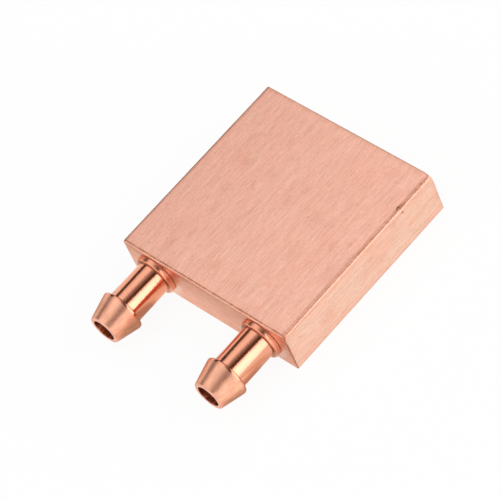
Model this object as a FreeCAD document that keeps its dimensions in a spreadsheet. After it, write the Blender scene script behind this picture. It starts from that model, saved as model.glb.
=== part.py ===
import FreeCAD, Part
import Sketcher
import os

# Liquid cooling cold plate: a square copper block with two hose nozzles on its front side.
#
# The block is brazed up from two copper plates. The lower one is the thermal plate, with two
# banks of thin upright fins. The upper one is the housing, hollowed out from below into a
# U-shaped coolant channel: in at the left port, back through the left fin bank, round the end
# of the centre rib, and forward through the right fin bank to the right port. A cut foil of
# braze filler joins the plates. Each nozzle is turned from bar, with a spigot that goes
# through the front wall, and a braze ring fills the countersink under its collar.
#
# Frame: the origin is the centre of the thermal face, on the ground. +Z is up, and the
# nozzles point along -Y, with the inlet on the left (-X) and the outlet on the right (+X).

doc = FreeCAD.newDocument("cold_plate")

# Driving dimensions, in millimetres.
DIMENSIONS = [
    ("block_width", 50.0, "side to side, along X"),
    ("block_depth", 50.0, "front to back, along Y"),
    ("block_thickness", 12.0, "thermal face to top face"),
    ("edge_break", 0.3, "radius on the outside edges of the block"),
    ("base_thickness", 1.9, "thermal plate under the fins"),
    ("foil_thickness", 0.1, "braze filler between the two plates"),
    ("wall_thickness", 4.0, "outside wall of the coolant channel"),
    ("roof_thickness", 2.5, "housing above the coolant channel"),
    ("channel_corner", 3.0, "radius of the cutter in the channel's outer corners"),
    ("rib_width", 2.0, "centre rib between the two fin banks"),
    ("rib_end_radius", 0.8, "rounding on the free end of the centre rib"),
    ("turn_gap", 6.0, "open turn behind the centre rib"),
    ("plenum_depth", 6.5, "open space in front of the fins, at the ports"),
    ("fin_thickness", 0.5, "one skived fin"),
    ("fin_gap", 0.5, "coolant gap between fins"),
    ("fin_side_gap", 0.5, "least gap from the fins to the walls and the rib"),
    ("fin_roof_gap", 0.2, "from the fin tips to the roof of the channel"),
    ("port_edge_distance", 8.7, "nozzle axis to the side of the block"),
    ("port_web", 0.6, "housing left below the spigot"),
    ("port_clearance", 0.05, "radial gap between the spigot and its hole"),
    ("countersink", 0.3, "chamfer of the port, filled by the braze ring"),
    ("spigot_diameter", 6.8, "nozzle's shank inside the front wall"),
    ("bore_diameter", 5.75, "coolant way through the nozzle"),
    ("collar_diameter", 10.6, "flange that seats on the front face"),
    ("collar_thickness", 1.35, "flange that seats on the front face"),
    ("collar_break", 0.3, "chamfer on the collar's front rim"),
    ("stem_diameter", 8.6, "hose seat between the collar and the barb"),
    ("stem_end", 11.5, "front face of the block to the barb's shoulder"),
    ("barb_diameter", 10.8, "widest part of the nozzle"),
    ("barb_land", 0.6, "straight part of the barb before its taper"),
    ("barb_round", 0.3, "radius on the barb's two rims"),
    ("mouth_diameter", 7.7, "small end of the taper"),
    ("mouth_break", 0.25, "chamfer on the outside rim of the mouth"),
    ("bore_break", 0.1, "chamfer inside the mouth"),
    ("nozzle_reach", 18.1, "front face of the block to the mouth"),
]

sheet = doc.addObject("Spreadsheet::Sheet", "Sizes")
for row, (alias, size, meaning) in enumerate(DIMENSIONS, start=1):
    sheet.set(f"A{row}", alias)
    sheet.set(f"B{row}", str(size))
    sheet.setAlias(f"B{row}", alias)
    sheet.set(f"C{row}", meaning)
doc.recompute()

# Places that follow from the driving dimensions, as expressions on the sheet.
HALF_WIDTH = "Sizes.block_width / 2"
HALF_DEPTH = "Sizes.block_depth / 2"
HOUSING_FLOOR = "(Sizes.base_thickness + Sizes.foil_thickness)"
HOUSING_HEIGHT = f"(Sizes.block_thickness - {HOUSING_FLOOR})"
CHANNEL_HEIGHT = f"({HOUSING_HEIGHT} - Sizes.roof_thickness)"
CHANNEL_SIDE = f"({HALF_WIDTH} - Sizes.wall_thickness)"
CHANNEL_END = f"({HALF_DEPTH} - Sizes.wall_thickness)"
RIB_SIDE = "Sizes.rib_width / 2"
RIB_TIP = f"({CHANNEL_END} - Sizes.turn_gap)"
PORT_OFFSET = f"({HALF_WIDTH} - Sizes.port_edge_distance)"
PORT_ABOVE_FLOOR = "(Sizes.port_web + Sizes.spigot_diameter / 2)"
PORT_HEIGHT = f"({HOUSING_FLOOR} + {PORT_ABOVE_FLOOR})"
PORT_RADIUS = "(Sizes.spigot_diameter / 2 + Sizes.port_clearance)"

FIN_PITCH = "(Sizes.fin_thickness + Sizes.fin_gap)"
BANK_INSIDE = f"({RIB_SIDE} + Sizes.fin_side_gap)"
BANK_SPACE = f"({CHANNEL_SIDE} - Sizes.fin_side_gap - {BANK_INSIDE})"
FIN_COUNT = f"floor(({BANK_SPACE} + Sizes.fin_gap) / {FIN_PITCH})"
BANK_WIDTH = f"({FIN_COUNT} * {FIN_PITCH} - Sizes.fin_gap)"
BANK_START = f"({BANK_INSIDE} + ({BANK_SPACE} - {BANK_WIDTH}) / 2)"
FIN_FRONT = f"(Sizes.plenum_depth - {CHANNEL_END})"
FIN_HEIGHT = f"(Sizes.foil_thickness + {CHANNEL_HEIGHT} - Sizes.fin_roof_gap)"


def value(expression):
    """The number that an expression on the sheet comes to."""
    result = sheet.evalExpression(expression)
    return float(getattr(result, "Value", result))


def new_body(name):
    body = doc.addObject("PartDesign::Body", name)
    body.Label = name
    return body


def new_sketch(body, name, plane="XY_Plane", offset=None):
    """A sketch on one of the body's own origin planes, moved along its normal by an offset."""
    sketch = body.newObject("Sketcher::SketchObject", name)
    for feature in body.Origin.OriginFeatures:
        if feature.Role == plane:
            sketch.AttachmentSupport = [(feature, "")]
    sketch.MapMode = "FlatFace"
    if offset:
        sketch.setExpression(".AttachmentOffset.Base.z", offset)
    return sketch


def add_outline(sketch, corners):
    """A closed outline of straight lines, with each corner held by two expressions."""
    points = [FreeCAD.Vector(value(across), value(along), 0) for across, along in corners]
    first = sketch.GeometryCount
    count = len(points)
    for index, point in enumerate(points):
        sketch.addGeometry(Part.LineSegment(point, points[(index + 1) % count]), False)
    for index in range(count):
        follower = first + (index + 1) % count
        sketch.addConstraint(Sketcher.Constraint("Coincident", first + index, 2, follower, 1))
    for index, corner in enumerate(corners):
        for kind, expression in zip(("DistanceX", "DistanceY"), corner):
            held = Sketcher.Constraint(kind, -1, 1, first + index, 1, value(expression))
            number = sketch.addConstraint(held)
            sketch.setExpression(f"Constraints[{number}]", expression)


def rectangle(left, right, front, back):
    return [(left, front), (right, front), (right, back), (left, back)]


def pad(body, name, sketch, length):
    feature = body.newObject("PartDesign::Pad", name)
    feature.Profile = sketch
    feature.setExpression("Length", length)
    doc.recompute()
    return feature


def pocket(body, name, sketch, depth, reversed_cut=False):
    """A blind cut. It stops the script if the cut takes nothing away."""
    before = body.Shape.Volume
    feature = body.newObject("PartDesign::Pocket", name)
    feature.Profile = sketch
    feature.Reversed = reversed_cut
    feature.setExpression("Length", depth)
    doc.recompute()
    if not body.Shape.Volume < before:
        raise RuntimeError(f"{name} cuts nothing")
    return feature


def dress_edges(body, kind, name, size, wanted):
    """A fillet or a chamfer on every edge of the body that the wanted test picks."""
    base = body.Tip
    edges = base.Shape.Edges
    names = [f"Edge{number}" for number, edge in enumerate(edges, start=1) if wanted(edge)]
    if not names:
        raise RuntimeError(f"{name} finds no edge")
    feature = body.newObject(f"PartDesign::{kind}", name)
    feature.Base = (base, names)
    feature.setExpression("Radius" if kind == "Fillet" else "Size", size)
    doc.recompute()
    return feature


def is_upright(edge):
    start, end = edge.Vertexes[0].Point, edge.Vertexes[-1].Point
    return abs(start.x - end.x) < 1e-6 and abs(start.y - end.y) < 1e-6


def has_radius(edge, radius):
    """True for a whole circle of this radius."""
    is_closed = len(edge.Vertexes) == 1 and not edge.Degenerated
    is_round = is_closed and isinstance(edge.Curve, Part.Circle)
    return is_round and abs(edge.Curve.Radius - radius) < 1e-6


def is_level_at(edge, height):
    return all(abs(vertex.Z - height) < 1e-6 for vertex in edge.Vertexes)


def on_outside(edge):
    """True where the whole edge lies on one of the four sides of the block."""
    corners = [vertex.Point for vertex in edge.Vertexes]
    on_side = all(abs(abs(point.x) - value(HALF_WIDTH)) < 1e-6 for point in corners)
    on_end = all(abs(abs(point.y) - value(HALF_DEPTH)) < 1e-6 for point in corners)
    return on_side or on_end


def round_corners(body):
    """The upright corners of the block, broken to the same radius on every layer."""
    def outside_corner(edge):
        return is_upright(edge) and on_outside(edge)
    dress_edges(body, "Fillet", f"{body.Name}_corners", "Sizes.edge_break", outside_corner)


def block_outline():
    left, front = f"-({HALF_WIDTH})", f"-({HALF_DEPTH})"
    return rectangle(left, HALF_WIDTH, front, HALF_DEPTH)


# The coolant channel seen from above, as a U with the centre rib standing in its mouth.
CHANNEL_OUTLINE = [
    (f"-{CHANNEL_SIDE}", f"-{CHANNEL_END}"),
    (f"-({RIB_SIDE})", f"-{CHANNEL_END}"),
    (f"-({RIB_SIDE})", RIB_TIP),
    (RIB_SIDE, RIB_TIP),
    (RIB_SIDE, f"-{CHANNEL_END}"),
    (CHANNEL_SIDE, f"-{CHANNEL_END}"),
    (CHANNEL_SIDE, CHANNEL_END),
    (f"-{CHANNEL_SIDE}", CHANNEL_END),
]


def round_channel(body):
    """The cutter's radius in the channel's corners, and the rounded tip of the rib."""
    def at_rib_tip(edge):
        place = edge.Vertexes[0].Point
        on_tip = abs(place.y - value(RIB_TIP)) < 1e-6
        return on_tip and abs(place.x) < value(RIB_SIDE) + 1e-6

    def channel_corner(edge):
        return is_upright(edge) and not on_outside(edge) and not at_rib_tip(edge)

    def rib_corner(edge):
        return is_upright(edge) and at_rib_tip(edge)

    corners, tip = f"{body.Name}_channel_corners", f"{body.Name}_rib_tip"
    dress_edges(body, "Fillet", corners, "Sizes.channel_corner", channel_corner)
    dress_edges(body, "Fillet", tip, "Sizes.rib_end_radius", rib_corner)


def build_thermal_plate():
    """The lower plate, with its two banks of fins skived up from the solid."""
    body = new_body("thermal_plate")
    plan = new_sketch(body, "plate_plan")
    add_outline(plan, block_outline())
    pad(body, "plate", plan, "Sizes.base_thickness")
    round_corners(body)

    def bottom_edge(edge):
        return is_level_at(edge, 0.0)
    dress_edges(body, "Fillet", "thermal_face_break", "Sizes.edge_break", bottom_edge)

    fins = new_sketch(body, "first_fins", offset="Sizes.base_thickness")
    left_bank = f"-({BANK_START} + {BANK_WIDTH})"
    for start in (left_bank, BANK_START):
        add_outline(fins, rectangle(start, f"{start} + Sizes.fin_thickness", FIN_FRONT, RIB_TIP))
    first_fins = pad(body, "first_fin_pair", fins, FIN_HEIGHT)

    bank = body.newObject("PartDesign::LinearPattern", "fin_banks")
    bank.Originals = [first_fins]
    bank.Direction = (fins, ["H_Axis"])
    bank.setExpression("Length", f"({FIN_COUNT} - 1) * {FIN_PITCH}")
    bank.setExpression("Occurrences", FIN_COUNT)
    body.Tip = bank
    doc.recompute()
    return body


def build_housing():
    """The upper plate, hollowed from below and bored for the two nozzles."""
    body = new_body("housing")
    body.setExpression(".Placement.Base.z", HOUSING_FLOOR)
    plan = new_sketch(body, "housing_plan")
    add_outline(plan, block_outline())
    pad(body, "housing_block", plan, HOUSING_HEIGHT)
    round_corners(body)

    def top_edge(edge):
        return is_level_at(edge, value(HOUSING_HEIGHT))
    dress_edges(body, "Fillet", "top_face_break", "Sizes.edge_break", top_edge)

    channel = new_sketch(body, "channel_plan")
    add_outline(channel, CHANNEL_OUTLINE)
    pocket(body, "coolant_channel", channel, CHANNEL_HEIGHT, reversed_cut=True)
    round_channel(body)

    ports = new_sketch(body, "port_centres", "XZ_Plane", offset=HALF_DEPTH)
    for side in ("-", ""):
        across = f"{side}{PORT_OFFSET}"
        centre = FreeCAD.Vector(value(across), value(PORT_ABOVE_FLOOR), 0)
        upward = FreeCAD.Vector(0, 0, 1)
        circle = ports.addGeometry(Part.Circle(centre, upward, value(PORT_RADIUS)), False)
        held = (
            (Sketcher.Constraint("DistanceX", -1, 1, circle, 3, centre.x), across),
            (Sketcher.Constraint("DistanceY", -1, 1, circle, 3, centre.y), PORT_ABOVE_FLOOR),
            (Sketcher.Constraint("Radius", circle, value(PORT_RADIUS)), PORT_RADIUS),
        )
        for constraint, expression in held:
            number = ports.addConstraint(constraint)
            ports.setExpression(f"Constraints[{number}]", expression)
    # The bores run on past the wall, so they also clear the channel's rounded corners.
    pocket(body, "ports", ports, "Sizes.wall_thickness + Sizes.channel_corner")

    def port_mouth(edge):
        at_front = abs(edge.Vertexes[0].Y + value(HALF_DEPTH)) < 1e-6
        return at_front and has_radius(edge, value(PORT_RADIUS))
    dress_edges(body, "Chamfer", "port_countersinks", "Sizes.countersink", port_mouth)
    return body


def build_plate_braze():
    """The cut foil of filler between the plates: a rim and the strip under the rib."""
    body = new_body("plate_braze_foil")
    body.setExpression(".Placement.Base.z", "Sizes.base_thickness")
    plan = new_sketch(body, "foil_plan")
    add_outline(plan, block_outline())
    pad(body, "foil", plan, "Sizes.foil_thickness")
    round_corners(body)
    window = new_sketch(body, "foil_window")
    add_outline(window, CHANNEL_OUTLINE)
    pocket(body, "foil_cutout", window, "Sizes.foil_thickness", reversed_cut=True)
    round_channel(body)
    return body


def turn(body, name, profile):
    """A turned solid. The profile gives radius and place along the body's own Z axis."""
    sketch = new_sketch(body, f"{name}_profile", "XZ_Plane")
    add_outline(sketch, profile)
    feature = body.newObject("PartDesign::Revolution", name)
    feature.Profile = sketch
    feature.ReferenceAxis = (sketch, ["V_Axis"])
    feature.Angle = 360
    doc.recompute()
    return feature


def seat_at_port(body, side):
    """Lay a turned body along -Y, with its Z = 0 on the front face at one port."""
    body.Placement.Rotation = FreeCAD.Rotation(FreeCAD.Vector(1, 0, 0), 90)
    body.setExpression(".Placement.Base.x", f"{side}{PORT_OFFSET}")
    body.setExpression(".Placement.Base.y", f"-({HALF_DEPTH})")
    body.setExpression(".Placement.Base.z", PORT_HEIGHT)


def rim(radius, place):
    """A test for the round edge of this radius at this place along the turned body."""
    def wanted(edge):
        return is_level_at(edge, value(place)) and has_radius(edge, value(radius))
    return wanted


def build_nozzle(name, side):
    """A hose nozzle turned from bar: spigot, collar, stem, and one barb that tapers to
    the mouth."""
    body = new_body(name)
    bore, spigot = "Sizes.bore_diameter / 2", "Sizes.spigot_diameter / 2"
    collar, stem = "Sizes.collar_diameter / 2", "Sizes.stem_diameter / 2"
    barb, mouth = "Sizes.barb_diameter / 2", "Sizes.mouth_diameter / 2"
    taper_start = "Sizes.stem_end + Sizes.barb_land"
    turn(body, f"{name}_turning", [
        (bore, "-Sizes.wall_thickness"),
        (spigot, "-Sizes.wall_thickness"),
        (spigot, "0"),
        (collar, "0"),
        (collar, "Sizes.collar_thickness"),
        (stem, "Sizes.collar_thickness"),
        (stem, "Sizes.stem_end"),
        (barb, "Sizes.stem_end"),
        (barb, taper_start),
        (mouth, "Sizes.nozzle_reach"),
        (bore, "Sizes.nozzle_reach"),
    ])
    dressings = (
        ("collar_front_rim", "Chamfer", "collar_break", rim(collar, "Sizes.collar_thickness")),
        ("barb_taper_rim", "Fillet", "barb_round", rim(barb, taper_start)),
        ("barb_shoulder_rim", "Fillet", "barb_round", rim(barb, "Sizes.stem_end")),
        ("mouth_rim", "Chamfer", "mouth_break", rim(mouth, "Sizes.nozzle_reach")),
        ("bore_rim", "Chamfer", "bore_break", rim(bore, "Sizes.nozzle_reach")),
    )
    for feature_name, kind, size, wanted in dressings:
        dress_edges(body, kind, f"{name}_{feature_name}", f"Sizes.{size}", wanted)
    seat_at_port(body, side)
    return body


def build_braze_ring(name, side):
    """The ring of filler that fills the countersink between the hole, spigot and collar."""
    body = new_body(name)
    spigot = "Sizes.spigot_diameter / 2"
    turn(body, f"{name}_turning", [
        (spigot, "-Sizes.countersink"),
        (PORT_RADIUS, "-Sizes.countersink"),
        (f"{PORT_RADIUS} + Sizes.countersink", "0"),
        (spigot, "0"),
    ])
    seat_at_port(body, side)
    return body


parts = [build_thermal_plate(), build_plate_braze(), build_housing()]
for flow, side in (("inlet", "-"), ("outlet", "")):
    parts.append(build_nozzle(f"{flow}_nozzle", side))
    parts.append(build_braze_ring(f"{flow}_braze_ring", side))
doc.recompute()

for item in doc.Objects:
    if "Invalid" in item.State or "Error" in item.State:
        raise RuntimeError(f"{item.Name} failed: {item.State}")
for part in parts:
    shape = part.Shape
    if shape.isNull() or not shape.isValid() or len(shape.Solids) != 1:
        raise RuntimeError(f"{part.Label} is not one valid solid")

os.makedirs("parts", exist_ok=True)
for part in parts:
    part.Shape.exportStep(os.path.join("parts", f"{part.Label}.step"))
    print(f"{part.Label}: {part.Shape.Volume:.1f} mm3")
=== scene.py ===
import math

import bpy
from mathutils import Matrix, Vector, noise


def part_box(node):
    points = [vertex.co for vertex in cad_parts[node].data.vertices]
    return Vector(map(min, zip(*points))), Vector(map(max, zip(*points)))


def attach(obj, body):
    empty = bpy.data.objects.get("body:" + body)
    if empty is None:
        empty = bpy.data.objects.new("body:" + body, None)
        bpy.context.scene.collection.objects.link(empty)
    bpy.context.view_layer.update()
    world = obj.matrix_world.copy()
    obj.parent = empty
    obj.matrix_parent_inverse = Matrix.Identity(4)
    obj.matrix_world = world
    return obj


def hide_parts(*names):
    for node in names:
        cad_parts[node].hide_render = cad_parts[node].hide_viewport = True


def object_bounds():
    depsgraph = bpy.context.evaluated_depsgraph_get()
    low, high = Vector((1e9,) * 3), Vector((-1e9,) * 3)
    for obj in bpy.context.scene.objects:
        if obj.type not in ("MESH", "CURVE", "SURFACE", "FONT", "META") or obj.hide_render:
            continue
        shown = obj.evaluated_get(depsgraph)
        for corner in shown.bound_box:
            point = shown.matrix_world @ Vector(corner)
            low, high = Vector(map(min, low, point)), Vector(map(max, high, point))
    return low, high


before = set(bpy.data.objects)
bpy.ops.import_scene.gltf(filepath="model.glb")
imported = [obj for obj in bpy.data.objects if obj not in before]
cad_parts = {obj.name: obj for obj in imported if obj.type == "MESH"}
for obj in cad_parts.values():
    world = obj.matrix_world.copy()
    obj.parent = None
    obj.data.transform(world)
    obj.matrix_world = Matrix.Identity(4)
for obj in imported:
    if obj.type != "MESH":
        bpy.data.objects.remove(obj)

cad_low, cad_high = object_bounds()


# ---------------------------------------------------------------------------
# Thermal plate with its two skived fin banks.
# One thick copper plate, machined flat below and sliced into upright fins above.
# It closes the block from below and carries the fins inside the water channel.

millimetre = 0.001
block_half_width = cad_high.x
block_thickness = cad_high.z
nozzle_offset = 16.3 * millimetre
nozzle_height = 6.0 * millimetre


def add_node(tree, kind, **settings):
    node = tree.nodes.new(kind)
    for name, value in settings.items():
        setattr(node, name, value)
    return node


def calculate(tree, operation, first, second=None, third=None):
    node = add_node(tree, "ShaderNodeMath", operation=operation)
    for socket, value in zip(node.inputs, (first, second, third)):
        if isinstance(value, (int, float)):
            socket.default_value = value
        elif value is not None:
            tree.links.new(value, socket)
    return node.outputs[0]


def product(tree, first, *others):
    for other in others:
        first = calculate(tree, "MULTIPLY", first, other)
    return first


def ramp_between(tree, value, start, end, low=0.0, high=1.0):
    """A smooth step from low, where the value is at start, to high, where it is at end."""
    node = add_node(tree, "ShaderNodeMapRange", interpolation_type="SMOOTHSTEP")
    tree.links.new(value, node.inputs["Value"])
    node.inputs["From Min"].default_value = start
    node.inputs["From Max"].default_value = end
    node.inputs["To Min"].default_value = low
    node.inputs["To Max"].default_value = high
    return node.outputs["Result"]


def ramp_along(tree, distance, start, end, low=0.0, high=1.0):
    """The same for a distance, with start and end in millimetres."""
    return ramp_between(tree, distance, start * millimetre, end * millimetre, low, high)


def line_at(tree, distance, centre, half):
    """A soft line on the surface at one distance from an edge, in millimetres."""
    away = calculate(tree, "ABSOLUTE", calculate(tree, "SUBTRACT", distance, centre * millimetre))
    return ramp_along(tree, away, half * 0.3, half, 1.0, 0.0)


def stretched_noise(tree, place, periods, detail=2.0, roughness=0.5):
    """Noise drawn out along each axis by its period, in millimetres."""
    mapping = add_node(tree, "ShaderNodeMapping")
    mapping.inputs["Scale"].default_value = [1.0 / (period * millimetre) for period in periods]
    tree.links.new(place, mapping.inputs["Vector"])
    pattern = add_node(tree, "ShaderNodeTexNoise")
    pattern.inputs["Scale"].default_value = 1.0
    pattern.inputs["Detail"].default_value = detail
    pattern.inputs["Roughness"].default_value = roughness
    tree.links.new(mapping.outputs["Vector"], pattern.inputs["Vector"])
    return pattern.outputs["Fac"]


def patches(tree, place, periods, detail, start, end, low=0.0, high=1.0):
    """Noise taken through a smooth step: patches of one finish in another."""
    return ramp_between(tree, stretched_noise(tree, place, periods, detail), start, end, low, high)


def mix_colour(tree, amount, first, second, blend="MIX"):
    node = add_node(tree, "ShaderNodeMix", data_type="RGBA", blend_type=blend)
    factor = node.inputs[0]
    first_socket = node.inputs[6]
    second_socket = node.inputs[7]
    for socket, value in ((factor, amount), (first_socket, first), (second_socket, second)):
        if isinstance(value, bpy.types.NodeSocket):
            tree.links.new(value, socket)
        elif isinstance(value, tuple):
            socket.default_value = (*value, 1.0)
        else:
            socket.default_value = value
    return node.outputs[2]


def new_group(name, inputs, outputs):
    """Starts a shader node group whose outputs are all plain values."""
    group = bpy.data.node_groups.new(name, "ShaderNodeTree")
    for label, kind, value in inputs:
        socket = group.interface.new_socket(label, in_out="INPUT", socket_type=kind)
        if value is not None:
            socket.default_value = value
    for label in outputs:
        group.interface.new_socket(label, in_out="OUTPUT", socket_type="NodeSocketFloat")
    return group, add_node(group, "NodeGroupInput"), add_node(group, "NodeGroupOutput")


def link_outputs(group, group_out, values):
    for label, value in values.items():
        group.links.new(value, group_out.inputs[label])


def place_group(tree, group, place):
    node = add_node(tree, "ShaderNodeGroup", node_tree=group)
    tree.links.new(place, node.inputs["Place"])
    return node


def start_material(name):
    material = bpy.data.materials.new(name)
    material.use_nodes = True
    tree = material.node_tree
    shader = tree.nodes["Principled BSDF"]
    shader.inputs["Metallic"].default_value = 1.0
    place = add_node(tree, "ShaderNodeTexCoord").outputs["Object"]
    return material, tree, shader, place


def add_bump(tree, shader, height, distance, strength):
    bump = add_node(tree, "ShaderNodeBump")
    bump.inputs["Strength"].default_value = strength
    bump.inputs["Distance"].default_value = distance * millimetre
    tree.links.new(height, bump.inputs["Height"])
    tree.links.new(bump.outputs["Normal"], shader.inputs["Normal"])


# Linished grain: fine scratches along the length of the block, with softer bands and slow mottle.
grain_group, grain_in, grain_out = new_group(
    "Linished grain",
    (("Place", "NodeSocketVector", None),),
    ("Scratches", "Bands", "Mottle"),
)
grain_place = grain_in.outputs["Place"]
scratches = stretched_noise(grain_group, grain_place, (0.30, 4.5, 0.30), detail=3.0, roughness=0.65)
bands = stretched_noise(grain_group, grain_place, (1.1, 14.0, 1.1), detail=2.0)
mottle = stretched_noise(grain_group, grain_place, (6.0, 11.0, 6.0), detail=3.0)
link_outputs(grain_group, grain_out, {"Scratches": scratches, "Bands": bands, "Mottle": mottle})

# Distances from the edges of a square block that stands on the origin, and masks of its faces.
# On a face one of the three distances is 0, so their sum less the largest is the nearest edge's.
edge_group, edge_in, edge_out = new_group(
    "Distance from block edge",
    (
        ("Place", "NodeSocketVector", None),
        ("Half width", "NodeSocketFloat", block_half_width),
        ("Thickness", "NodeSocketFloat", block_thickness),
    ),
    (
        "Distance",
        "Side face",
        "End face",
        "From top",
        "From base",
        "From right",
        "From left",
        "From front",
        "From back",
    ),
)
face_depth = 0.3 * millimetre
edge_axes = add_node(edge_group, "ShaderNodeSeparateXYZ")
edge_group.links.new(edge_in.outputs["Place"], edge_axes.inputs[0])
across, along, up = (edge_axes.outputs[axis] for axis in "XYZ")
half_width = edge_in.outputs["Half width"]
thickness = edge_in.outputs["Thickness"]
from_side = calculate(edge_group, "SUBTRACT", half_width, calculate(edge_group, "ABSOLUTE", across))
from_end = calculate(edge_group, "SUBTRACT", half_width, calculate(edge_group, "ABSOLUTE", along))
from_top = calculate(edge_group, "SUBTRACT", thickness, up)
from_level = calculate(edge_group, "MINIMUM", from_top, up)
flat_total = calculate(edge_group, "ADD", from_side, from_end)
flat_largest = calculate(edge_group, "MAXIMUM", from_side, from_end)
total = calculate(edge_group, "ADD", flat_total, from_level)
largest = calculate(edge_group, "MAXIMUM", flat_largest, from_level)
link_outputs(
    edge_group,
    edge_out,
    {
        "Distance": calculate(edge_group, "SUBTRACT", total, largest),
        "Side face": ramp_between(edge_group, from_side, 0.0, face_depth, 1.0, 0.0),
        "End face": ramp_between(edge_group, from_end, 0.0, face_depth, 1.0, 0.0),
        "From top": from_top,
        "From base": up,
        "From right": calculate(edge_group, "SUBTRACT", half_width, across),
        "From left": calculate(edge_group, "ADD", half_width, across),
        "From front": calculate(edge_group, "ADD", half_width, along),
        "From back": calculate(edge_group, "SUBTRACT", half_width, along),
    },
)

# Distance from the axis of the nearer nozzle, and how far to the right of that axis a point lies.
axis_group, axis_in, axis_out = new_group(
    "Distance from nozzle axis",
    (("Place", "NodeSocketVector", None),),
    ("Distance", "To right"),
)
axis_axes = add_node(axis_group, "ShaderNodeSeparateXYZ")
axis_group.links.new(axis_in.outputs["Place"], axis_axes.inputs[0])
off_centre = calculate(axis_group, "ABSOLUTE", axis_axes.outputs["X"])
outward = calculate(axis_group, "SUBTRACT", off_centre, nozzle_offset)
above = calculate(axis_group, "SUBTRACT", axis_axes.outputs["Z"], nozzle_height)
square = calculate(axis_group, "MULTIPLY_ADD", outward, outward, product(axis_group, above, above))
nozzle_side = calculate(axis_group, "SIGN", axis_axes.outputs["X"])
link_outputs(
    axis_group,
    axis_out,
    {
        "Distance": calculate(axis_group, "SQRT", square),
        "To right": product(axis_group, outward, nozzle_side),
    },
)


def dark_edge_lines(tree, place, edge):
    """How strongly the dark, ragged lines show that run along the edges between the ground faces."""
    side_face = edge.outputs["Side face"]
    on_top = ramp_along(tree, edge.outputs["From top"], 0.15, 0.40, 1.0, 0.0)
    upright_face = calculate(tree, "MAXIMUM", side_face, edge.outputs["End face"])
    lines_on_faces = (
        (line_at(tree, edge.outputs["From front"], centre=0.48, half=0.26), on_top),
        (line_at(tree, edge.outputs["From left"], centre=0.22, half=0.22), on_top),
        (
            line_at(tree, edge.outputs["From front"], centre=0.08, half=0.30),
            line_at(tree, edge.outputs["From right"], centre=0.08, half=0.30),
        ),
        # Painted shade: a dark line along the foot of the upright faces, where the block stands on the
        # table.
        (ramp_along(tree, edge.outputs["From base"], 0.05, 0.35, 0.75, 0.0), upright_face),
        (
            ramp_along(tree, edge.outputs["From back"], 0.05, 0.35, 0.8, 0.0),
            calculate(tree, "MAXIMUM", on_top, side_face),
        ),
    )
    lines = 0.0
    for line, face in lines_on_faces:
        lines = calculate(tree, "MAXIMUM", product(tree, line, face), lines)
    ragged = stretched_noise(tree, place, (1.2, 1.2, 1.2), detail=4.0, roughness=0.65)
    return product(tree, lines, ramp_between(tree, ragged, 0.30, 0.60, 0.35, 0.85))


def knocked_edge(tree, place, edge):
    """How strongly the right-hand top edge is darkened, following the wear that its mesh carries."""
    wear = add_node(tree, "ShaderNodeAttribute", attribute_name="edge_wear").outputs["Fac"]
    torn = stretched_noise(tree, place, (0.45, 0.7, 0.45), detail=3.0, roughness=0.7)
    torn = calculate(tree, "MULTIPLY_ADD", wear, 0.45, torn)
    darkening = ramp_between(tree, torn, 0.46, 1.0, 0.0, 0.62)
    band = line_at(tree, edge.outputs["From right"], centre=0.70, half=0.75)
    rolled = ramp_along(tree, edge.outputs["From top"], 0.30, 0.60, 1.0, 0.0)
    return product(tree, darkening, band, rolled)


def ground_polish(tree, edge, grain):
    """Roughness of the grind: duller on the rolled right-hand edge and on the front and back."""
    satin = ramp_between(tree, grain.outputs["Bands"], 0.3, 0.75, 0.22, 0.30)
    near_right = ramp_along(tree, edge.outputs["From right"], 0.9, 1.5, 0.22, 0.0)
    near_top = ramp_along(tree, edge.outputs["From top"], 0.8, 1.4, 1.0, 0.0)
    satin = calculate(tree, "MULTIPLY_ADD", near_right, near_top, satin)
    return calculate(tree, "MULTIPLY_ADD", edge.outputs["End face"], 0.12, satin)


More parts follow.
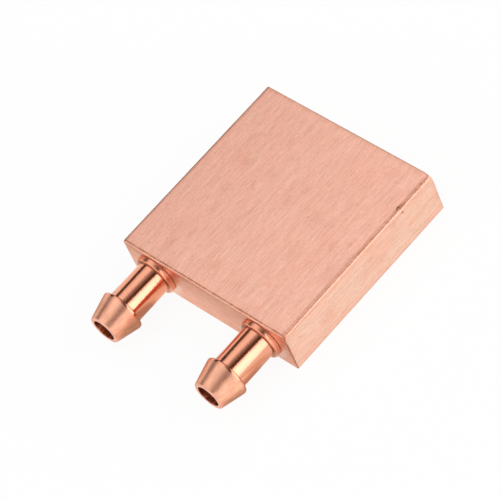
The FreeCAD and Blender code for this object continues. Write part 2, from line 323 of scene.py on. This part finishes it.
def make_ground_copper(name):
    copper = (0.99, 0.52, 0.395)
    pale_copper = (1.0, 0.56, 0.43)
    painted_lit_side = (1.0, 0.62, 0.46)
    clouded_side = (0.99, 0.53, 0.37)
    dusky_end = (0.98, 0.52, 0.39)
    painted_collar_shine = (1.0, 0.74, 0.64)
    warm_copper = (0.88, 0.40, 0.27)
    dark_brown = (0.36, 0.13, 0.055)
    material, tree, shader, place = start_material(name)
    grain = place_group(tree, grain_group, place)
    edge = place_group(tree, edge_group, place)
    nozzle = place_group(tree, axis_group, place)
    side_face = edge.outputs["Side face"]
    end_face = edge.outputs["End face"]

    # Painted light: the side faces take a lighter copper, as if more brightly lit than the top.
    tone = mix_colour(tree, side_face, copper, painted_lit_side)
    tone = mix_colour(tree, end_face, tone, dusky_end)
    pale_patches = ramp_between(tree, grain.outputs["Mottle"], 0.35, 0.7, 0.0, 0.8)
    tone = mix_colour(tree, pale_patches, tone, pale_copper)
    clouds = patches(tree, place, (5.0, 8.0, 5.0), 2.0, 0.38, 0.66, 0.0, 0.55)
    tone = mix_colour(tree, product(tree, clouds, side_face), tone, clouded_side)
    blotches = patches(tree, place, (3.2, 4.5, 3.2), 4.0, 0.56, 0.74, 0.0, 0.40)
    tone = mix_colour(tree, blotches, tone, warm_copper)
    specks = patches(tree, place, (0.55, 0.8, 0.55), 1.0, 0.73, 0.80, 0.0, 0.4)
    tone = mix_colour(tree, specks, tone, dark_brown)

    # Painted reflection: the front is paled to the right of each collar, where the collar's own shine
    # would warm it.
    round_collar = ramp_along(tree, nozzle.outputs["Distance"], 5.8, 8.0, 0.9, 0.0)
    right_of_collar = ramp_along(tree, nozzle.outputs["To right"], 0.0, 3.0)
    front_face = ramp_between(tree, edge.outputs["From front"], 0.0, face_depth, 1.0, 0.0)
    tone = mix_colour(tree, product(tree, round_collar, right_of_collar, front_face), tone, painted_collar_shine)
    near_edge = ramp_along(tree, edge.outputs["Distance"], 0.3, 1.6, 0.30, 0.0)
    tone = mix_colour(tree, near_edge, tone, warm_copper)

    end_strokes = stretched_noise(tree, place, (3.2, 0.3, 0.35))
    strokes = mix_colour(tree, end_face, grain.outputs["Scratches"], end_strokes)
    stroke_shade = ramp_between(tree, strokes, 0.28, 0.72, 1.05, 0.85)
    tone = mix_colour(tree, 1.0, tone, stroke_shade, blend="MULTIPLY")
    flecks = patches(tree, place, (0.30, 0.9, 0.30), 2.0, 0.32, 0.68, 1.06, 0.96)
    tone = mix_colour(tree, 1.0, tone, flecks, blend="MULTIPLY")
    # Dark lines along the edges; the one at the foot is painted shade.
    tone = mix_colour(tree, dark_edge_lines(tree, place, edge), tone, dark_brown)
    tone = mix_colour(tree, knocked_edge(tree, place, edge), tone, dark_brown)
    tree.links.new(tone, shader.inputs["Base Color"])
    tree.links.new(ground_polish(tree, edge, grain), shader.inputs["Roughness"])
    height = calculate(tree, "MULTIPLY_ADD", grain.outputs["Bands"], 0.8, strokes)
    add_bump(tree, shader, height, 0.014, 0.35)
    return material


def give_material(piece, material):
    piece.data.materials.clear()
    piece.data.materials.append(material)


ground_copper = make_ground_copper("ground_copper")
give_material(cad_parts["thermal_plate"], ground_copper)


# ---------------------------------------------------------------------------
# Plate braze foil.
# A sheet of filler 0.1 mm thick, cut to the shape of the housing's walls and rib, that melts and
# bonds the thermal plate to them. Only its rim shows, as a faint line low on the sides.


def make_braze_filler(name):
    filler = (0.78, 0.36, 0.25)
    stained_filler = (0.55, 0.24, 0.17)
    material, tree, shader, place = start_material(name)
    flow = stretched_noise(tree, place, (0.8, 0.8, 0.4), detail=3.0)
    tone = mix_colour(tree, ramp_between(tree, flow, 0.4, 0.7), filler, stained_filler)
    tree.links.new(tone, shader.inputs["Base Color"])
    tree.links.new(ramp_between(tree, flow, 0.3, 0.7, 0.3, 0.45), shader.inputs["Roughness"])
    add_bump(tree, shader, flow, 0.03, 0.4)
    return material


braze_filler = make_braze_filler("braze_filler")
give_material(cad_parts["plate_braze_foil"], braze_filler)


# ---------------------------------------------------------------------------
# Housing.
# A square copper block, milled from below with the U-shaped water channel and bored from the
# front for the two nozzles. Its outside is ground along its length, and one top edge is knocked.

housing_low, housing_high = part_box("housing")
edge_radius = 0.3 * millimetre
side_roll = 0.9 * millimetre
front_roll = 0.5 * millimetre
wall = 4.0 * millimetre
channel_roof = 9.5 * millimetre
channel_corner = 3.0 * millimetre
rib_width = 2.0 * millimetre
rib_end_radius = 0.8 * millimetre
turn_gap = 6.0 * millimetre
port_radius = 3.45 * millimetre
drill_depth = 8.0 * millimetre
clearance = 1.0 * millimetre
port_steps = 96
round_segments = 6
rib_segments = 4
smooth_angle = math.radians(30)
tolerance = 0.01 * millimetre


def deselect_all():
    if bpy.context.object and bpy.context.object.mode != "OBJECT":
        bpy.ops.object.mode_set(mode="OBJECT")
    bpy.ops.object.select_all(action="DESELECT")


def add_box(name, low, high):
    deselect_all()
    centre = (low + high) / 2
    bpy.ops.mesh.primitive_cube_add(size=1.0, location=centre, scale=high - low)
    box = bpy.context.object
    box.name = name
    bpy.ops.object.transform_apply(location=True, rotation=True, scale=True)
    return box


def bevel_edges(piece, wanted, width, segments):
    bpy.context.view_layer.objects.active = piece
    bpy.ops.object.mode_set(mode="EDIT")
    bpy.ops.mesh.select_all(action="DESELECT")
    bpy.ops.mesh.select_mode(type="EDGE")
    bpy.ops.object.mode_set(mode="OBJECT")
    points = piece.data.vertices
    for edge in piece.data.edges:
        first, second = (points[index].co for index in edge.vertices)
        edge.select = wanted(first, second)
    bpy.ops.object.mode_set(mode="EDIT")
    bpy.ops.mesh.bevel(offset=width, segments=segments, affect="EDGES")
    bpy.ops.object.mode_set(mode="OBJECT")


def is_upright(first, second):
    least_rise = 0.5 * millimetre
    return abs(first.z - second.z) > least_rise


def cut_away(piece, cutter):
    modifier = piece.modifiers.new("cut", "BOOLEAN")
    modifier.operation = "DIFFERENCE"
    modifier.object = cutter
    modifier.solver = "EXACT"
    bpy.context.view_layer.objects.active = piece
    bpy.ops.object.modifier_apply(modifier=modifier.name)
    bpy.data.objects.remove(cutter)


housing = add_box("housing_block", housing_low, housing_high)
top_level = housing_high.z


def is_outer_edge(first, second):
    on_top = min(first.z, second.z) > top_level - tolerance
    return on_top or is_upright(first, second)


bevel_edges(housing, is_outer_edge, edge_radius, round_segments)


def slice_block(axis, low, high, step):
    """Cuts the whole skin at even steps across one axis."""
    count = round((high - low) / step)
    normal = Vector((0, 0, 0))
    normal[axis] = 1.0
    for index in range(count + 1):
        point = Vector((0, 0, 0))
        point[axis] = low + (high - low) * index / count
        bpy.ops.mesh.select_all(action="SELECT")
        bpy.ops.mesh.bisect(plane_co=point, plane_no=normal)


# The faces are divided finely enough for the wear that the edges have taken.
margin = 1.0 * millimetre
along_step = 0.5 * millimetre
across_step = 1.0 * millimetre
level_step = 1.5 * millimetre
bpy.ops.object.mode_set(mode="EDIT")
slice_block(1, housing_low.y + margin, housing_high.y - margin, along_step)
slice_block(0, housing_low.x + margin, housing_high.x - margin, across_step)
slice_block(2, housing_low.z, housing_high.z - margin, level_step)
bpy.ops.object.mode_set(mode="OBJECT")

cavity_low = Vector((housing_low.x + wall, housing_low.y + wall, housing_low.z - clearance))
cavity_high = Vector((housing_high.x - wall, housing_high.y - wall, channel_roof))
cavity = add_box("cavity", cavity_low, cavity_high)
bevel_edges(cavity, is_upright, channel_corner, round_segments)
rib_low = Vector((-rib_width / 2, cavity_low.y - wall, cavity_low.z - wall))
rib_high = Vector((rib_width / 2, cavity_high.y - turn_gap, cavity_high.z + wall))
rib = add_box("rib", rib_low, rib_high)


def is_free_end(first, second):
    return is_upright(first, second) and first.y > 0


bevel_edges(rib, is_free_end, rib_end_radius, rib_segments)
cut_away(cavity, rib)
cut_away(housing, cavity)
for side in (-1, 1):
    deselect_all()
    drill_middle = housing_low.y + (drill_depth - clearance) / 2
    bpy.ops.mesh.primitive_cylinder_add(
        vertices=port_steps,
        radius=port_radius,
        depth=drill_depth + clearance,
        location=(side * nozzle_offset, drill_middle, nozzle_height),
        rotation=(math.pi / 2, 0, 0),
    )
    cut_away(housing, bpy.context.object)


def step_up(value, start, end):
    share = min(max((value - start) / (end - start), 0.0), 1.0)
    return share * share * (3 - 2 * share)


def knocks_along_side(along):
    """How far the right-hand top edge is knocked over at one place, as a multiple of side_roll.

    It is worn more towards the back. A dent has its place and its reach along the edge, in
    millimetres, and its depth as a multiple of side_roll.
    """
    dents = (
        (22.5, 1.8, 0.75),
        (19.0, 1.5, 0.6),
        (15.0, 2.2, 1.0),
        (10.3, 1.5, 0.6),
        (3.4, 1.2, 0.4),
        (-3.2, 1.0, 0.4),
    )
    worn = 0.30 + 0.25 * step_up(along, -10.0, 10.0)
    for place, reach, depth in dents:
        worn = max(worn, depth * math.exp(-(((along - place) / reach) ** 2)))
    return worn * (0.8 + 0.6 * noise.noise(Vector((along * 1.7, 3.1, 0.4))))


def knocks_along_front(across):
    """How far the front top edge is knocked over, as a multiple of front_roll: most at the right."""
    unevenness = 1.0 + 0.3 * noise.noise(Vector((across * 0.9, 7.7, 0.2)))
    return 0.35 + 0.5 * step_up(across, 12.0, 18.0) * unevenness


def roll_edge(piece, axis, limit, knocks, extra_radius, darkening=True):
    """Opens out the rounding of one top edge by an amount that changes along the edge."""
    attributes = piece.data.attributes
    wear = attributes.get("edge_wear") or attributes.new("edge_wear", "FLOAT", "POINT")
    sign = math.copysign(1.0, limit)
    rounded_depth = edge_radius * 1.01
    for vertex in piece.data.vertices:
        inward = (limit - vertex.co[axis]) * sign
        down = top_level - vertex.co.z
        if inward > rounded_depth or down > rounded_depth:
            continue
        worn = max(knocks(vertex.co[1 - axis] / millimetre), 0.0)
        growth = 1 + worn * extra_radius / edge_radius
        vertex.co[axis] = limit - sign * inward * growth
        vertex.co.z = top_level - down * growth
        if darkening:
            wear.data[vertex.index].value = worn


roll_edge(housing, 0, housing_high.x, knocks_along_side, side_roll)
roll_edge(housing, 1, housing_low.y, knocks_along_front, front_roll, darkening=False)

# The back right corner has been dropped on and is blunted.
blunt_corner = Vector((housing_high.x, housing_high.y, housing_high.z))
blunt_reach = 1.6 * millimetre
blunt_depth = Vector((0.35, 0.35, 0.45)) * millimetre
for vertex in housing.data.vertices:
    closeness = 1 - (vertex.co - blunt_corner).length / blunt_reach
    if closeness > 0:
        vertex.co -= blunt_depth * closeness**1.5

deselect_all()
housing.select_set(True)
bpy.context.view_layer.objects.active = housing
bpy.ops.object.shade_smooth_by_angle(angle=smooth_angle)
give_material(housing, ground_copper)
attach(housing, "root")
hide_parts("housing")


# ---------------------------------------------------------------------------
# Nozzle braze rings.
# A ring of filler wire is laid round each spigot at the mouth of its port.
# It melts into the countersink and leaves a thin bead behind the collar.

for node_name in ("inlet_braze_ring", "outlet_braze_ring"):
    give_material(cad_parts[node_name], braze_filler)


# ---------------------------------------------------------------------------
# Inlet and outlet nozzles.
# Each is one turned copper part: spigot, collar, stem and hose barb with a cone.
# The stem is polished, the cone is left satin and the bore is painted dark as shade, with lighter streaks
# painted in as its reflections.

spigot_radius = 3.4 * millimetre
bore_radius = 2.875 * millimetre
collar_radius = 5.3 * millimetre
collar_length = 1.35 * millimetre
stem_radius = 4.3 * millimetre
barb_radius = 5.4 * millimetre
barb_start = 11.5 * millimetre
barb_land = 0.6 * millimetre
mouth_radius = 3.85 * millimetre
merge_distance = 0.001 * millimetre
turned_steps = 160
block_front = housing_low.y


def band_along(tree, distance, rise, fall, strength):
    """A soft band that rises over one stretch and falls over another, both in millimetres."""
    return product(
        tree,
        ramp_along(tree, distance, rise[0], rise[1]),
        ramp_along(tree, distance, fall[0], fall[1], strength, 0.0),
    )


def nozzle_polish(tree, reach, inside):
    """Roughness: a polished stem, and a duller collar, cone, mouth and bore."""
    bore_dullness = (0.30, 0.30, 0.30)
    stem_and_cone = ramp_along(tree, reach, 12.0, 12.3, 0.07, 0.32)
    collar = ramp_along(tree, reach, 1.1, 1.4, 0.16, 0.0)
    mouth = ramp_along(tree, reach, 17.8, 18.0, 0.0, 0.10)
    outside = calculate(tree, "ADD", calculate(tree, "ADD", stem_and_cone, mouth), collar)
    return mix_colour(tree, inside, outside, bore_dullness)


def make_turned_copper(name):
    copper = (0.88, 0.385, 0.25)
    orange_copper = (0.86, 0.32, 0.17)
    satin_copper = (0.98, 0.48, 0.32)
    painted_corner_shade = (0.36, 0.13, 0.07)
    pale_lip = (0.90, 0.62, 0.54)
    painted_bore_shade = (0.40, 0.14, 0.07)
    painted_bore_reflection = (0.95, 0.48, 0.33)
    unmarked = (1.0, 1.0, 1.0)
    material, tree, shader, place = start_material(name)
    axes = add_node(tree, "ShaderNodeSeparateXYZ")
    tree.links.new(place, axes.inputs[0])
    reach = calculate(tree, "SUBTRACT", block_front, axes.outputs["Y"])
    radius = place_group(tree, axis_group, place).outputs["Distance"]

    stains = patches(tree, place, (2.5, 4.0, 2.5), 3.0, 0.40, 0.75, 0.0, 0.35)
    tone = mix_colour(tree, stains, copper, orange_copper)
    cone = ramp_along(tree, reach, 12.0, 12.3)
    tone = mix_colour(tree, cone, tone, satin_copper)

    # Shade is painted into the corners: at the block, where the collar meets the stem, and at the barb.
    seat = ramp_along(tree, reach, 0.0, 0.30, 0.85, 0.0)
    tone = mix_colour(tree, seat, tone, painted_corner_shade)
    collar_foot = band_along(tree, reach, rise=(1.22, 1.34), fall=(1.45, 1.65), strength=0.85)
    corner_start = stem_radius + 0.45 * millimetre
    corner_end = stem_radius + 0.7 * millimetre
    near_stem = ramp_between(tree, radius, corner_start, corner_end, 1.0, 0.0)
    tone = mix_colour(tree, product(tree, collar_foot, near_stem), tone, painted_corner_shade)
    barb_shoulder = band_along(tree, reach, rise=(11.0, 11.42), fall=(11.6, 11.85), strength=0.9)
    tone = mix_colour(tree, barb_shoulder, tone, painted_corner_shade)

    lip = ramp_along(tree, reach, 17.95, 18.05, 0.0, 0.7)
    tone = mix_colour(tree, lip, tone, pale_lip)
    scuffs = patches(tree, place, (1.0, 3.0, 1.0), 3.0, 0.35, 0.65, 0.87, 1.06)
    cone_scuffs = mix_colour(tree, cone, unmarked, scuffs)
    tone = mix_colour(tree, 1.0, tone, cone_scuffs, blend="MULTIPLY")
    # Painted shade and reflection: the bore is darkened, with lighter streaks that stand in for its
    # reflections.
    wall_start = bore_radius + 0.02 * millimetre
    wall_end = bore_radius + 0.1 * millimetre
    inside = ramp_between(tree, radius, wall_start, wall_end, 1.0, 0.0)
    bore_reflection_streaks = patches(tree, place, (1.3, 5.0, 1.3), 3.0, 0.45, 0.62)
    tone = mix_colour(tree, inside, tone, mix_colour(tree, bore_reflection_streaks, painted_bore_shade, painted_bore_reflection))
    tree.links.new(tone, shader.inputs["Base Color"])
    tree.links.new(nozzle_polish(tree, reach, inside), shader.inputs["Roughness"])

    marks = stretched_noise(tree, place, (5.0, 0.40, 5.0), detail=3.0)
    waves = stretched_noise(tree, place, (0.8, 0.45, 0.8), detail=3.0, roughness=0.6)
    height = calculate(tree, "MULTIPLY_ADD", waves, 8.0, calculate(tree, "MULTIPLY", marks, 4.0))
    add_bump(tree, shader, height, 0.005, 0.6)
    return material


turned_copper = make_turned_copper("turned_copper")


def turn_nozzle(name, axis_x):
    """Draws half the section as a chain of points, rounds its corners and spins it about the axis.

    Each point has its radius, its place along the nozzle and, in millimetres, its rounding.
    """
    nozzle_low, nozzle_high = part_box("inlet_nozzle")
    mouth_end = nozzle_low.y
    spigot_end = nozzle_high.y
    collar_end = block_front - collar_length
    shoulder = block_front - barb_start
    section = (
        (bore_radius, spigot_end, 0),
        (spigot_radius, spigot_end, 0),
        (spigot_radius, block_front, 0),
        (collar_radius, block_front, 0.15),
        (collar_radius, collar_end, 0.30),
        (stem_radius, collar_end, 0.12),
        (stem_radius, shoulder, 0.10),
        (barb_radius, shoulder, 0.28),
        (barb_radius, shoulder - barb_land, 0.28),
        (mouth_radius, mouth_end, 0.25),
        (bore_radius, mouth_end, 0.08),
    )
    deselect_all()
    bpy.ops.mesh.primitive_plane_add(size=1.0, location=(0, 0, 0))
    nozzle = bpy.context.object
    nozzle.name = name
    bpy.ops.object.mode_set(mode="EDIT")
    bpy.ops.mesh.select_mode(type="VERT")
    bpy.ops.mesh.select_all(action="SELECT")
    bpy.ops.mesh.merge(type="CENTER")
    start = section[0]
    bpy.ops.transform.translate(value=(axis_x + start[0], start[1], nozzle_height))
    previous = start
    for point in section[1:]:
        step = (point[0] - previous[0], point[1] - previous[1], 0)
        bpy.ops.mesh.extrude_vertices_move(TRANSFORM_OT_translate={"value": step})
        previous = point
    step = (start[0] - previous[0], start[1] - previous[1], 0)
    bpy.ops.mesh.extrude_vertices_move(TRANSFORM_OT_translate={"value": step})
    bpy.ops.mesh.select_all(action="SELECT")
    bpy.ops.mesh.remove_doubles(threshold=merge_distance)
    for radius, along, rounding in section:
        if not rounding:
            continue
        bpy.ops.mesh.select_all(action="DESELECT")
        bpy.ops.object.mode_set(mode="OBJECT")
        corner = Vector((axis_x + radius, along, nozzle_height))
        for vertex in nozzle.data.vertices:
            vertex.select = (vertex.co - corner).length < tolerance
        bpy.ops.object.mode_set(mode="EDIT")
        bpy.ops.mesh.bevel(offset=rounding * millimetre, segments=round_segments, affect="VERTICES")
    bpy.ops.mesh.select_all(action="SELECT")
    bpy.ops.mesh.spin(
        steps=turned_steps,
        angle=math.tau,
        center=(axis_x, 0, nozzle_height),
        axis=(0, 1, 0),
        use_auto_merge=True,
    )
    bpy.ops.mesh.select_all(action="SELECT")
    bpy.ops.mesh.remove_doubles(threshold=merge_distance)
    bpy.ops.mesh.normals_make_consistent(inside=False)
    bpy.ops.object.mode_set(mode="OBJECT")
    bpy.ops.object.shade_smooth_by_angle(angle=smooth_angle)
    give_material(nozzle, turned_copper)
    return nozzle


for nozzle_name, side in (("inlet_nozzle", -1), ("outlet_nozzle", 1)):
    nozzle = turn_nozzle(nozzle_name + "_turned", side * nozzle_offset)
    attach(nozzle, "root")
    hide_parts(nozzle_name)


# ---------------------------------------------------------------------------
# Studio: a plain white table under a sky of long soft strips that run along the nozzles.
# The camera sees the table as an even white. The metal sees it as a glow in painted light and shade:
# dimmer and warmer near the block, and brighter in the open. From below the table is clear.


def table_in_metal(tree, place):
    """Colour of the table as the metal shows it, by its place about the block: painted shade in front of
    the block, dimming along its front towards the right, painted copper bounce light between the nozzles
    and a brighter painted glow in the open.
    """
    shaded_white = (0.50, 0.41, 0.33)
    front_left_white = (1.08, 0.97, 0.88)
    front_right_white = (0.80, 0.70, 0.62)
    painted_copper_bounce = (0.60, 0.27, 0.17)
    mouth_white = (1.0, 0.84, 0.74)
    side_white = (1.0, 1.0, 1.0)
    open_white = (1.2, 1.17, 1.12)
    axes = add_node(tree, "ShaderNodeSeparateXYZ")
    tree.links.new(place, axes.inputs[0])
    across = axes.outputs["X"]
    along = axes.outputs["Y"]
    by_front = ramp_along(tree, along, -31, -28)
    off_front = calculate(tree, "SUBTRACT", 1.0, by_front)
    by_side = ramp_along(tree, along, -27, -25)
    right_of_nozzles = product(tree, ramp_along(tree, across, 20, 33), off_front)
    right_of_block = product(tree, by_side, ramp_along(tree, across, 22, 26))
    open_table = calculate(tree, "MAXIMUM", right_of_nozzles, right_of_block)
    between_nozzles = product(
        tree,
        ramp_along(tree, across, 2, 12),
        ramp_along(tree, across, 19, 21, 1.0, 0.0),
        off_front,
    )
    past_mouths = ramp_along(tree, along, -44, -41, 1.0, 0.0)
    front_white = mix_colour(tree, ramp_along(tree, across, -25, 25), front_left_white, front_right_white)
    near_white = mix_colour(tree, by_front, shaded_white, front_white)
    near_white = mix_colour(tree, between_nozzles, near_white, painted_copper_bounce)
    near_white = mix_colour(tree, past_mouths, near_white, mouth_white)
    far_white = mix_colour(tree, by_side, open_white, side_white)
    return mix_colour(tree, open_table, near_white, far_white)


def make_table_material():
    matt_white = (0.95, 0.95, 0.95)
    speckled_white = (0.9405, 0.9405, 0.9405)
    camera_white = (1.0, 1.0, 1.0)
    camera_share = 0.92
    metal_share = 0.9
    material = bpy.data.materials.new("white_table")
    material.use_nodes = True
    tree = material.node_tree
    shader = tree.nodes["Principled BSDF"]
    shader.inputs["Roughness"].default_value = 0.3
    place = add_node(tree, "ShaderNodeTexCoord").outputs["Object"]
    speckle = stretched_noise(tree, place, (3.0, 3.0, 3.0))
    tree.links.new(mix_colour(tree, speckle, matt_white, speckled_white), shader.inputs["Base Color"])
    rays = add_node(tree, "ShaderNodeLightPath")
    glow = add_node(tree, "ShaderNodeEmission")
    glow.inputs["Strength"].default_value = 1.01
    # Painted light and shade: glossy rays see the table mostly as a glow in the painted colours of
    # table_in_metal.
    seen = mix_colour(tree, rays.outputs["Is Camera Ray"], table_in_metal(tree, place), camera_white)
    tree.links.new(seen, glow.inputs["Color"])
    in_metal = calculate(tree, "MULTIPLY", rays.outputs["Is Glossy Ray"], metal_share)
    share = calculate(tree, "MULTIPLY_ADD", rays.outputs["Is Camera Ray"], camera_share, in_metal)
    lit_table = add_node(tree, "ShaderNodeMixShader")
    tree.links.new(share, lit_table.inputs[0])
    tree.links.new(shader.outputs[0], lit_table.inputs[1])
    tree.links.new(glow.outputs[0], lit_table.inputs[2])
    from_below = add_node(tree, "ShaderNodeNewGeometry").outputs["Backfacing"]
    clear = add_node(tree, "ShaderNodeBsdfTransparent")
    one_way_table = add_node(tree, "ShaderNodeMixShader")
    tree.links.new(from_below, one_way_table.inputs[0])
    tree.links.new(lit_table.outputs[0], one_way_table.inputs[1])
    tree.links.new(clear.outputs[0], one_way_table.inputs[2])
    tree.links.new(one_way_table.outputs[0], tree.nodes["Material Output"].inputs["Surface"])
    return material


floor_size = 3.0
floor_drop = 0.02 * millimetre
deselect_all()
bpy.ops.mesh.primitive_plane_add(size=floor_size, location=(0, 0, -floor_drop))
floor = bpy.context.object
floor.name = "table"
bpy.ops.object.transform_apply(location=True, rotation=True, scale=True)
floor.data.materials.append(make_table_material())


def make_sky():
    """Brightness by the angle about the length of the nozzles.

    0 is level on the right, 90 overhead and 180 level on the left.
    """
    right_side = (
        (0, 2.0),
        (10, 2.3),
        (22, 2.5),
        (36, 2.5),
        (46, 2.2),
        (52, 1.35),
        (57, 0.35),
        (61, 0.07),
        (67, 0.06),
        (74, 0.16),
        (82, 0.30),
        (90, 0.50),
        (97, 0.9),
        (105, 1.14),
        (180, 1.0),
    )
    left_side = (
        (0, 1.0),
        (122, 1.0),
        (130, 0.8),
        (136, 0.35),
        (141, 0.07),
        (149, 0.05),
        (154, 0.18),
        (159, 0.6),
        (165, 0.95),
        (180, 1.0),
    )
    peak = 2.5
    lean = 0.49
    stem_lean = 0.29
    front_cap = 1.1
    end_light = 1.0
    dim_light = 0.45
    dim_tint = (1.25, 0.70, 0.40)
    world = bpy.data.worlds.new("studio")
    bpy.context.scene.world = world
    world.use_nodes = True
    tree = world.node_tree
    direction = add_node(tree, "ShaderNodeTexCoord").outputs["Generated"]
    axes = add_node(tree, "ShaderNodeSeparateXYZ")
    tree.links.new(direction, axes.inputs[0])
    angle = calculate(tree, "ARCTAN2", axes.outputs["Z"], axes.outputs["X"])

    def strips(angle, stages, brightest):
        ramp = add_node(tree, "ShaderNodeValToRGB")
        stops = ramp.color_ramp.elements
        stops.remove(stops[1])
        for index, (degrees, light) in enumerate(stages):
            stop = stops[0] if index == 0 else stops.new(degrees / 180)
            stop.position = degrees / 180
            warmth = max(0.0, 1 - light / dim_light)
            tint = [1 + (channel - 1) * warmth for channel in dim_tint]
            stop.color = (*(light * channel / brightest for channel in tint), 1.0)
        tree.links.new(calculate(tree, "DIVIDE", angle, math.pi), ramp.inputs[0])
        return ramp.outputs["Color"]

    # The right-hand strips lean: their angle shifts with how far a direction points back.
    off_stem_lean = calculate(tree, "SUBTRACT", stem_lean, axes.outputs["Y"])
    leaning = calculate(tree, "MULTIPLY_ADD", off_stem_lean, lean, angle)
    right_strips = strips(leaning, right_side, peak)
    left_strips = strips(angle, left_side, 1.0)
    sky = mix_colour(tree, 1.0, right_strips, left_strips, blend="MULTIPLY")
    facing_front = ramp_between(tree, axes.outputs["Y"], -0.15, 0.25, 1.0, 0.0)
    sky = mix_colour(tree, facing_front, sky, (front_cap / peak,) * 3, blend="DARKEN")
    behind = ramp_between(tree, axes.outputs["Y"], 0.82, 0.96)
    before = ramp_between(tree, axes.outputs["Y"], -0.60, -0.38, 1.0, 0.0)
    ends = calculate(tree, "MAXIMUM", behind, before)
    sky = mix_colour(tree, ends, sky, (end_light / peak,) * 3)
    background = tree.nodes["Background"]
    tree.links.new(sky, background.inputs["Color"])
    background.inputs["Strength"].default_value = peak
    white = add_node(tree, "ShaderNodeBackground")
    rays = add_node(tree, "ShaderNodeLightPath")
    blend = add_node(tree, "ShaderNodeMixShader")
    tree.links.new(rays.outputs["Is Camera Ray"], blend.inputs[0])
    tree.links.new(background.outputs[0], blend.inputs[1])
    tree.links.new(white.outputs[0], blend.inputs[2])
    tree.links.new(blend.outputs[0], tree.nodes["World Output"].inputs["Surface"])


make_sky()


# ---------------------------------------------------------------------------
# Camera: a long lens from the right front, high above the block. It is rolled clockwise, which
# turns the block anticlockwise in view and points the nozzles down to the left.

azimuth = math.radians(62.617)
elevation = math.radians(50.612)
roll = math.radians(-25.543)
aim = Vector((-1.298, -9.518, 6.770)) * millimetre
distance = 700.258 * millimetre

back = Vector(
    (
        math.sin(azimuth) * math.cos(elevation),
        -math.cos(azimuth) * math.cos(elevation),
        math.sin(elevation),
    )
)
camera_data = bpy.data.cameras.new("camera")
camera_data.lens = 228.454
camera_data.sensor_width = 36.0
camera_data.clip_start = 10.0 * millimetre
camera = bpy.data.objects.new("camera", camera_data)
bpy.context.scene.collection.objects.link(camera)
camera.matrix_world = (
    Matrix.Translation(aim + back * distance)
    @ Matrix.Rotation(azimuth, 4, "Z")
    @ Matrix.Rotation(math.pi / 2 - elevation, 4, "X")
    @ Matrix.Rotation(roll, 4, "Z")
)
bpy.context.scene.camera = camera
bpy.context.scene.view_settings.view_transform = "Standard"
